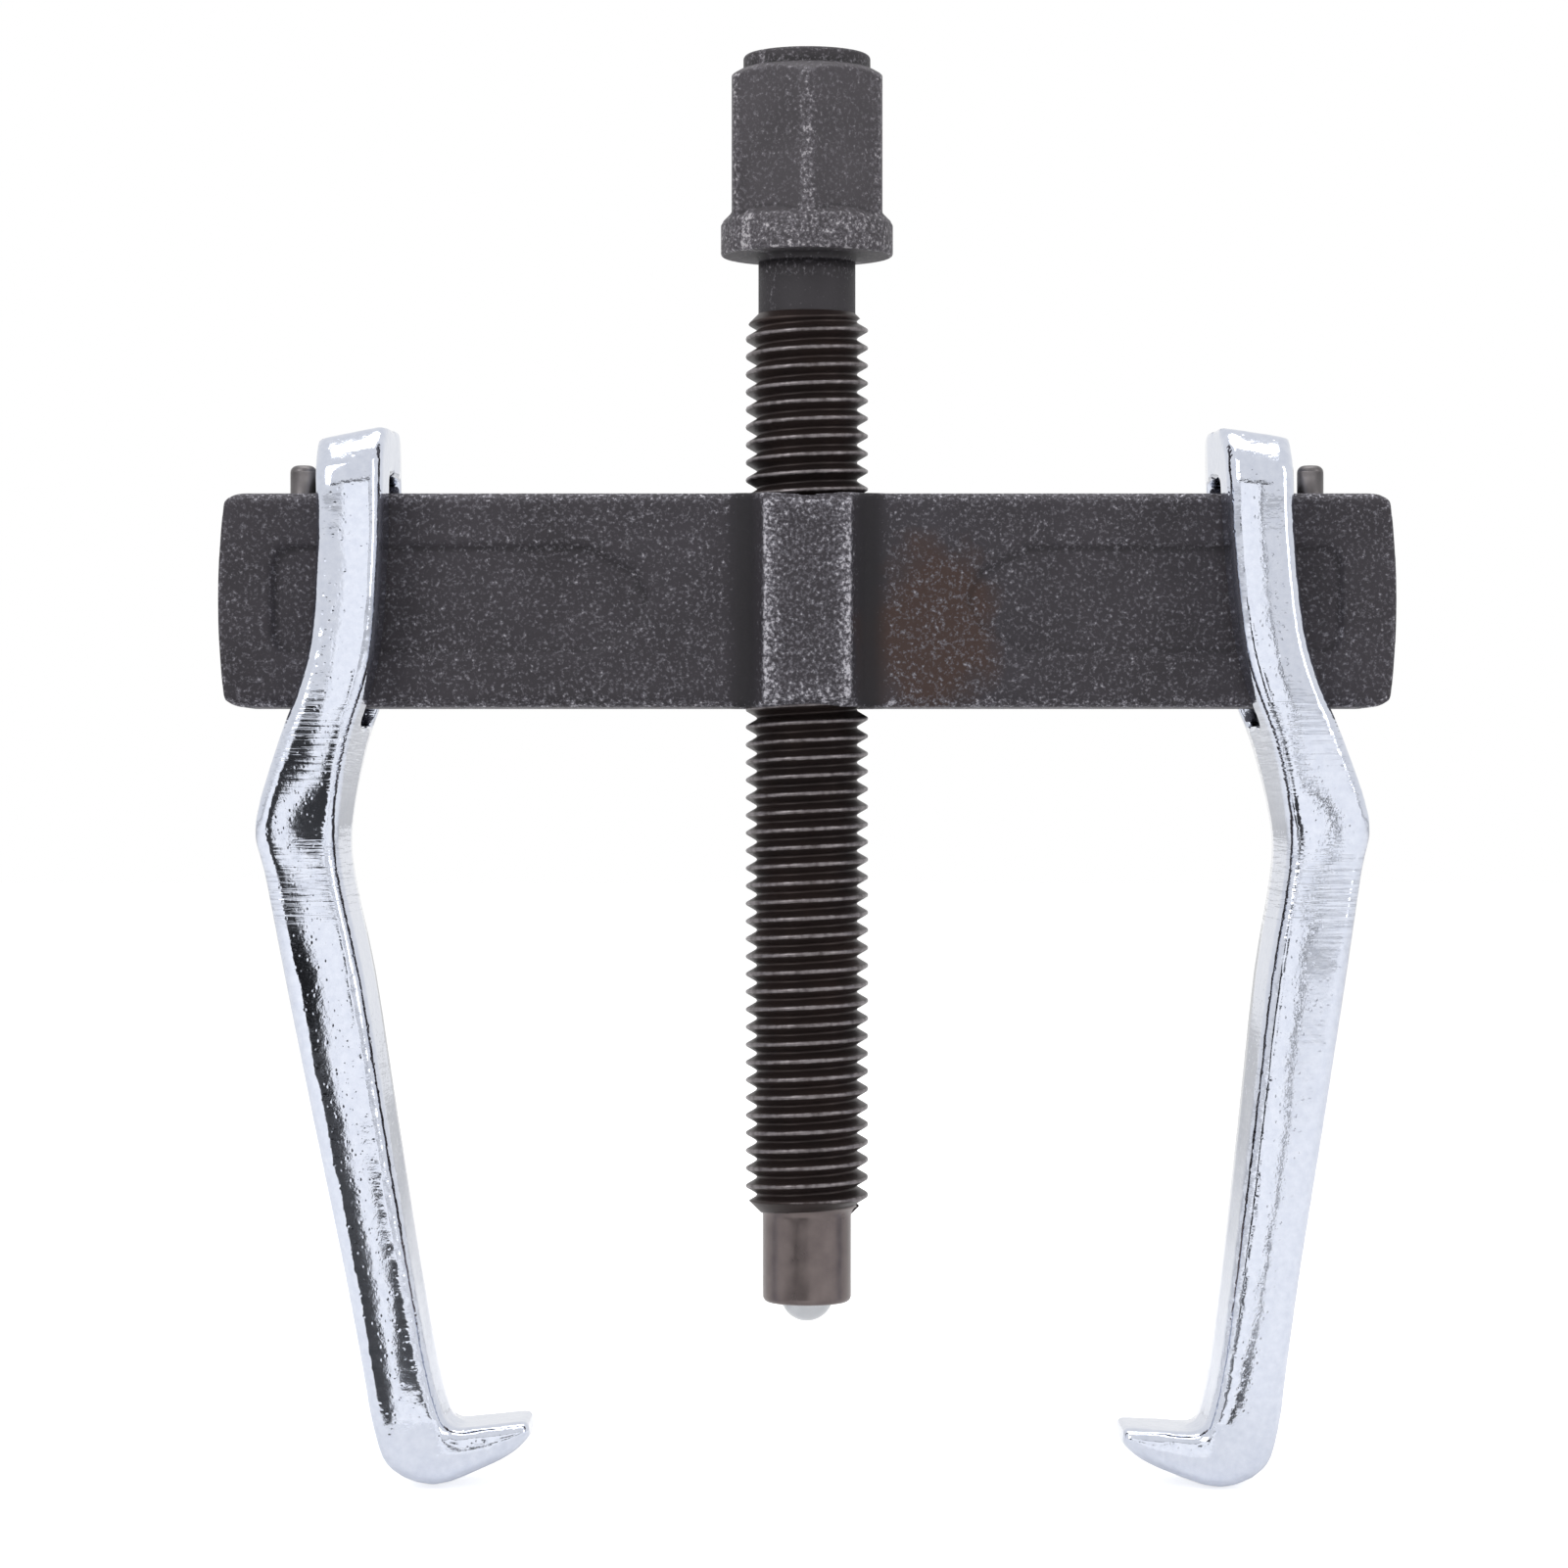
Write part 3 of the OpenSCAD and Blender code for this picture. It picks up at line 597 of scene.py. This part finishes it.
# %% Wind the screw's thread
thread_finish = oiled_thread("oiled_black_thread", SCREW_R)
winding = thread_tree(thread_finish)
THREAD_FOOT = 10 * MM
thread_mesh = wound_thread("screw_thread", winding, thread_finish, Turns=51.0,
                           Bottom=THREAD_FOOT - 0.43 * PITCH, Low_end=9.9 * MM, Low_radius=5 * MM,
                           High_end=112 * MM, High_radius=5.5 * MM)

# %% [markdown]
# ## The drive head
#
# The head is forged and then turned: a hexagon with its corners turned off, a thin disc left on its
# end, a cone that runs out into the round collar, and a neck that fillets into the collar. Seen
# from above, every height of it is a circle or a rounded hexagon, so one outline is spun and the
# hexagon is a rule that limits the radius.

# %% Make the head and the neck
screw_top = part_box("spindle")[1].z
DISC_Z = screw_top - 1.6 * MM
HEX_Z = DISC_Z - 17.5 * MM
COLLAR_Z = HEX_Z - 3.7 * MM
NECK_R = 5.5 * MM
COLLAR_R = 9.75 * MM
HEX_HALF = 8.5 * MM
DISC_R = 7.2 * MM


def soft_min(a, b, blend):
    """The lower of two numbers, with the corner between them rounded over blend."""
    h = max(blend - abs(a - b), 0) / blend
    return min(a, b) - h * h * blend / 4


def hex_shape(angle, r, z):
    """Limits a radius to the hexagon, where the hexagon stands."""
    if z < HEX_Z + 0.01 * MM or z > DISC_Z - 0.01 * MM:
        return r
    turn = (angle + math.pi / 6) % (math.pi / 3) - math.pi / 6
    flat = HEX_HALF / math.cos(turn)
    hexagon = soft_min(flat, HEX_HALF * 1.125, 0.5 * MM)
    shoulder = COLLAR_R - (z - HEX_Z)
    cone = DISC_R + (DISC_Z - z) * math.tan(math.radians(60)) + 0.15 * MM
    return max(soft_min(hexagon, cone, 0.5 * MM), min(shoulder, r))


def head_outline():
    neck_foot = 108 * MM
    steps = 70
    body = [(COLLAR_R, HEX_Z + (DISC_Z - HEX_Z) * i / steps) for i in range(1, steps)]
    return ([(0, neck_foot), (NECK_R, neck_foot)]
            + [(NECK_R, neck_foot + (COLLAR_Z - 0.8 * MM - neck_foot) * i / 8) for i in range(1, 9)]
            + arc(NECK_R + 0.8 * MM, COLLAR_Z - 0.8 * MM, 0.8 * MM, 180, 90)
            + arc(COLLAR_R - 0.35 * MM, COLLAR_Z + 0.35 * MM, 0.35 * MM, -90, 0)
            + [(COLLAR_R, COLLAR_Z + 1.8 * MM)]
            + arc(COLLAR_R - 0.3 * MM, HEX_Z - 0.3 * MM, 0.3 * MM, 0, 40)
            + body
            + [(DISC_R, DISC_Z)]
            + arc(DISC_R - 0.5 * MM, screw_top - 0.5 * MM, 0.5 * MM, 0, 85)
            + [(DISC_R * 0.5, screw_top), (0, screw_top)])


head_mesh = spun(head_outline(), sides=180, shape=hex_shape)

# %% [markdown]
# ## The pilot, its socket and the ball
#
# Below the thread the bar is turned down to a plain pilot. Its end is drilled, a hardened ball is
# dropped in, and the rim is swaged inward so that the ball can spin but not fall out.

# %% Make the pilot and the ball
ball_low, ball_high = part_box("tip_ball")
BALL_R = (ball_high.z - ball_low.z) / 2
BALL_Z = (ball_high.z + ball_low.z) / 2
PILOT_R = 5 * MM
rim_angle = math.degrees(math.asin(-BALL_Z / (BALL_R + 0.06 * MM)))
pilot_mesh = spun([(0, BALL_Z + BALL_R + 0.06 * MM)]
                  + arc(0, BALL_Z, BALL_R + 0.06 * MM, 80, rim_angle, 10)
                  + arc(BALL_R + 0.35 * MM, 0.18 * MM, 0.18 * MM, 200, 270, 3)
                  + arc(PILOT_R - 0.7 * MM, 0.7 * MM, 0.7 * MM, -90, 0)
                  + [(PILOT_R, 3 * MM), (PILOT_R, 6 * MM), (PILOT_R, 9.3 * MM)]
                  + arc(PILOT_R + 1.3 * MM, 9.7 * MM, 1.3 * MM, 180, 120)
                  + [(PILOT_R + 0.5 * MM, 13 * MM), (0, 13 * MM)])
ball_mesh = spun([(0, BALL_Z - BALL_R)] + arc(0, BALL_Z, BALL_R, -87, 87, 60) + [(0, BALL_Z + BALL_R)])
ball = placed("ball_tip", ball_mesh, ball_finish)
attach(ball, "ball")
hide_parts("tip_ball")

# %% Join the screw's three meshes, each with its own finish
parts = [placed("screw", thread_mesh, thread_finish), placed("head", head_mesh, head_finish),
         placed("pilot", pilot_mesh, pilot_finish)]
bpy.ops.object.select_all(action="DESELECT")
for part in parts:
    part.select_set(True)
bpy.context.view_layer.objects.active = parts[0]
bpy.ops.object.join()
screw = parts[0]
screw.name = "pressure_screw"
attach(screw, "spindle")
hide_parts("spindle")
print("screw", len(screw.data.polygons), "faces,", len(screw.data.materials), "finishes")

# %% [markdown]
# ## The stop pins
#
# Two short pins pressed into the beam's top edge stop a leg from sliding off. Their upper ends are
# rounded over.

# %% Make the pins
for side in ("left", "right"):
    low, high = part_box("stop_pin_" + side)
    pin_r = (high.x - low.x) / 2
    centre = (low + high) / 2
    outline = ([(0, low.z), (pin_r, low.z), (pin_r, (low.z + high.z) / 2), (pin_r, high.z - 0.8 * MM)]
               + arc(pin_r - 0.8 * MM, high.z - 0.8 * MM, 0.8 * MM, 0, 80)
               + [(pin_r * 0.2, high.z), (0, high.z)])
    pin = placed("pin_" + side, spun(outline, 48, centre.x, centre.y), pin_finish)
    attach(pin, "beam")
    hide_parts("stop_pin_" + side)

# %% [markdown]
# ## The legs
#
# Each leg is one forging: a window at the top for the beam, a knee that steps it outward, a straight
# shank and a hooked toe. The relaxed copy keeps the CAD shape and softens every edge the way belt
# grinding does before plating. A belt also leaves a flat face slightly crowned, a third of a
# millimetre at most, and chrome makes even that plain to see, so the front and back faces are raised
# a little towards their middles.

# %% Crown a ground face
def crowned(obj, rise, reach):
    """Raises front and back faces by up to rise, at reach or more from the nearest side face."""
    mesh = obj.data
    spots = [v.co.copy() for v in mesh.vertices]
    facing = [v.normal.y for v in mesh.vertices]
    sides = [number for number, y in enumerate(facing) if abs(y) < 0.5]
    nearest_side = KDTree(len(sides))
    for number in sides:
        nearest_side.insert(spots[number], number)
    nearest_side.balance()
    for spot, y in zip(spots, facing):
        if abs(y) >= 0.5 and y * spot.y > 0:
            edge_share = max(0.0, 1 - nearest_side.find(spot)[2] / reach)
            spot.y += math.copysign(rise * (1 - edge_share ** 2), spot.y)
    mesh.vertices.foreach_set("co", [number for spot in spots for number in spot])
    mesh.update()
    print(obj.name, "crowned by", round(rise / MM, 2), "mm")


# %% [markdown]
# ## The belt never meets both knees alike
#
# Grinding by hand leaves the faces at the knee leaning a few degrees to one side. At each side of
# the leg that is under half a millimetre, but it swings the reflections there well away from those
# in the shank. Each point of the knee moves back or forward in proportion to its distance from the
# leg's middle line.

# %% Lean the knee's faces
def leaned(obj, knee_z, half_height, degrees):
    """Turns the faces near knee_z about the leg's middle line: above 0 degrees, towards -X."""
    mesh = obj.data
    near_knee = [v for v in mesh.vertices if abs(v.co.z - knee_z) < half_height]
    rows = {}
    for v in near_knee:
        rows.setdefault(round(v.co.z / MM), []).append(v.co.x)
    middle_x = {row: (min(xs) + max(xs)) / 2 for row, xs in rows.items()}
    slope = math.tan(math.radians(degrees))
    for v in near_knee:
        fade = (1 - ((v.co.z - knee_z) / half_height) ** 2) ** 2
        outward = min(1.0, max(0.0, abs(v.co.y) / MM - 4) / 4)
        shift = slope * (v.co.x - middle_x[round(v.co.z / MM)]) * fade * outward
        v.co.y += math.copysign(1, v.co.y) * shift
    mesh.update()
    print(obj.name, "leans", degrees, "degrees at the knee")


# %% Make the legs
beam_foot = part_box("cross_beam")[0].z
for side, knee_lean in (("left", -6), ("right", 5)):
    node_name = "leg_" + side
    finish = chrome("bright_chrome_" + side, (beam_foot - 4 * MM, beam_foot - 20 * MM))
    leg = relaxed(node_name + "_chrome", node_name, 0.4 * MM, 8, finish)
    crowned(leg, 0.32 * MM, 4.2 * MM)
    leaned(leg, beam_foot - 13 * MM, 9 * MM, knee_lean)
    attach(leg, node_name)
    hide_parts(node_name)

# %% [markdown]
# ## The studio
#
# A pale floor and a white surround make the background. The same white is what metal reflects, and
# the light that falls on the object is kept at a plain level apart from it, so colours come out
# about as they are written.

# %% The world and the floor
whole_low, whole_high = (Vector(c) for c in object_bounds())
scene = bpy.context.scene
scene.view_settings.view_transform = "Standard"


def seen_directly(tree):
    """1 for rays that come from the camera, a mirror or glass, and 0 for light on the object."""
    path = add(tree, "ShaderNodeLightPath").outputs
    first = add(tree, "ShaderNodeMath", {0: path["Is Camera Ray"], 1: path["Is Glossy Ray"]},
                operation="ADD")
    return add(tree, "ShaderNodeMath", {0: first, 1: path["Is Transmission Ray"]},
               operation="ADD", use_clamp=True)


LIGHT_ON_OBJECT = 0.45
FLOOR_GLOW = 0.37
FLOOR_IN_MIRROR = 0.25
world = bpy.data.worlds.new("studio")
scene.world = world
world.use_nodes = True
world.node_tree.nodes.clear()
strength = add(world.node_tree, "ShaderNodeMapRange", {"Value": seen_directly(world.node_tree),
                                                       "To Min": LIGHT_ON_OBJECT, "To Max": 1.0})
sky = add(world.node_tree, "ShaderNodeBackground", {"Color": (1, 1, 1, 1), "Strength": strength})
add(world.node_tree, "ShaderNodeOutputWorld", {"Surface": sky})

floor_paper = bpy.data.materials.new("pale_floor_paper")
floor_paper.use_nodes = True
floor_tree = floor_paper.node_tree
floor_tree.nodes.clear()
paper = add(floor_tree, "ShaderNodeBsdfDiffuse", {"Color": srgb("#f2f2f2")})
mirrored = add(floor_tree, "ShaderNodeMath", {0: seen_directly(floor_tree), 1: FLOOR_IN_MIRROR},
               operation="MULTIPLY")
glow_strength = add(floor_tree, "ShaderNodeMath",
                    {0: add(floor_tree, "ShaderNodeLightPath").outputs["Is Camera Ray"],
                     1: FLOOR_GLOW, 2: mirrored}, operation="MULTIPLY_ADD")
glow = add(floor_tree, "ShaderNodeEmission", {"Color": (1, 1, 1, 1), "Strength": glow_strength})
both = add(floor_tree, "ShaderNodeAddShader", {0: paper, 1: glow})
add(floor_tree, "ShaderNodeOutputMaterial", {"Surface": both})


def card(name, corners, material):
    """A flat stage card with the given corners."""
    mesh = bpy.data.meshes.new(name)
    mesh.from_pydata(corners, [], [list(range(len(corners)))])
    mesh.materials.append(material)
    made = bpy.data.objects.new(name, mesh)
    scene.collection.objects.link(made)
    made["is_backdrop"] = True
    return made


FLOOR_Z = whole_low.z
card("floor", [(-3, -3, FLOOR_Z), (3, -3, FLOOR_Z), (3, 3, FLOOR_Z), (-3, 3, FLOOR_Z)], floor_paper)

# %% [markdown]
# ## Lights, and cards for the chrome
#
# Chrome has no look of its own: it shows the room. Bright cards before the object and on the floor
# give its faces their white bands. Dark cards frame them, and they draw the dark lines where a face
# turns over into an edge. One more dark card lies on the floor for the knees, whose faces slope
# downwards. Only mirror rays see the cards: they show in every finish that has a gloss, but light no
# matte colour, cast no shadow and never stand in the picture themselves. The bright ones are a
# little over white, because chrome gives back less than it receives, and its palest parts should
# come out near white.

# %% Lights
def soft_light(name, place, aim, size, watts):
    lamp = bpy.data.lights.new(name, "AREA")
    lamp.shape, lamp.size, lamp.size_y, lamp.energy = "RECTANGLE", size[0], size[1], watts
    obj = bpy.data.objects.new(name, lamp)
    scene.collection.objects.link(obj)
    obj.location = place
    obj.rotation_euler = (Vector(aim) - Vector(place)).to_track_quat("-Z", "Y").to_euler()
    obj.visible_camera = False
    return obj


middle = (whole_low + whole_high) / 2
soft_light("key_left", (-0.45, -0.55, 0.45), middle, (0.35, 0.5), 2.6)
soft_light("fill_right", (0.55, -0.35, 0.3), middle, (0.2, 0.5), 1.0)
soft_light("top", (0, 0.05, 0.7), middle, (0.6, 0.4), 2.5)

# %% Bright and dark cards
black_card = bpy.data.materials.new("black_card")
black_card.use_nodes = True
black_card.node_tree.nodes["Principled BSDF"].inputs["Base Color"].default_value = srgb("#0c0c0e")
black_card.node_tree.nodes["Principled BSDF"].inputs["Roughness"].default_value = 0.9
BRIGHT_STRENGTH = 1.3
bright_card = bpy.data.materials.new("bright_card")
bright_card.use_nodes = True
bright_card.node_tree.nodes.clear()
card_light = add(bright_card.node_tree, "ShaderNodeEmission", {"Color": (1, 1, 1, 1),
                                                               "Strength": BRIGHT_STRENGTH})
add(bright_card.node_tree, "ShaderNodeOutputMaterial", {"Surface": card_light})

NEAR_Y, FAR_Y = -0.03, -0.30
CARD_TOP, DARK_TOP, LEFT_TOP = 0.135, 0.150, 0.06


def on_floor(near_left, near_right, far_left, far_right, near=NEAR_Y, far=FAR_Y, lift=0.5 * MM):
    """Corners of a card that lies on the floor, given its sides at the near and far ends."""
    z = FLOOR_Z + lift
    return [(near_left, near, z), (near_right, near, z), (far_right, far, z), (far_left, far, z)]


def upright(left, right, low, high, y=FAR_Y):
    return [(left, y, low), (right, y, low), (right, y, high), (left, y, high)]


mirror_cards = {
    "bright_floor": (on_floor(-0.050, 0.044, -0.100, 0.076), bright_card),
    "bright_front": (upright(-0.100, 0.076, FLOOR_Z, CARD_TOP), bright_card),
    "dark_floor_left": (on_floor(-0.075, -0.050, -0.190, -0.100), black_card),
    "dark_left": (upright(-0.190, -0.100, FLOOR_Z, LEFT_TOP), black_card),
    "dark_floor_right": (on_floor(0.044, 0.047, 0.076, 0.083), black_card),
    "dark_right": (upright(0.076, 0.083, FLOOR_Z, CARD_TOP), black_card),
    "dark_top": (upright(-0.190, 0.120, CARD_TOP, DARK_TOP), black_card),
    "dark_middle": (upright(-0.018, 0.012, 0.015, 0.050, FAR_Y + 0.01), black_card),
    "dark_knee": (on_floor(-0.048, 0.008, -0.046, 0.008, -0.06, -0.24, 1 * MM), black_card)}
for title, (corners, finish) in mirror_cards.items():
    shown = card("card_" + title, corners, finish)
    shown.visible_camera = shown.visible_diffuse = shown.visible_shadow = False
    shown.visible_transmission = shown.visible_volume_scatter = False

# %% [markdown]
# ## The camera
#
# A long lens half a metre away, about level with the middle of the tool, looking straight at the
# front of the beam.

# %% The camera
DISTANCE = 0.5
VIEW_WIDTH = 0.1779
CAMERA_X, CAMERA_Z = -2.6 * MM, 58.7 * MM
lens = bpy.data.cameras.new("front_camera")
lens.sensor_width = 36
lens.lens = lens.sensor_width * DISTANCE / VIEW_WIDTH
camera = bpy.data.objects.new("front_camera", lens)
scene.collection.objects.link(camera)
camera.location = (CAMERA_X, -DISTANCE, CAMERA_Z)
camera.rotation_euler = (math.pi / 2, 0, 0)
scene.camera = camera
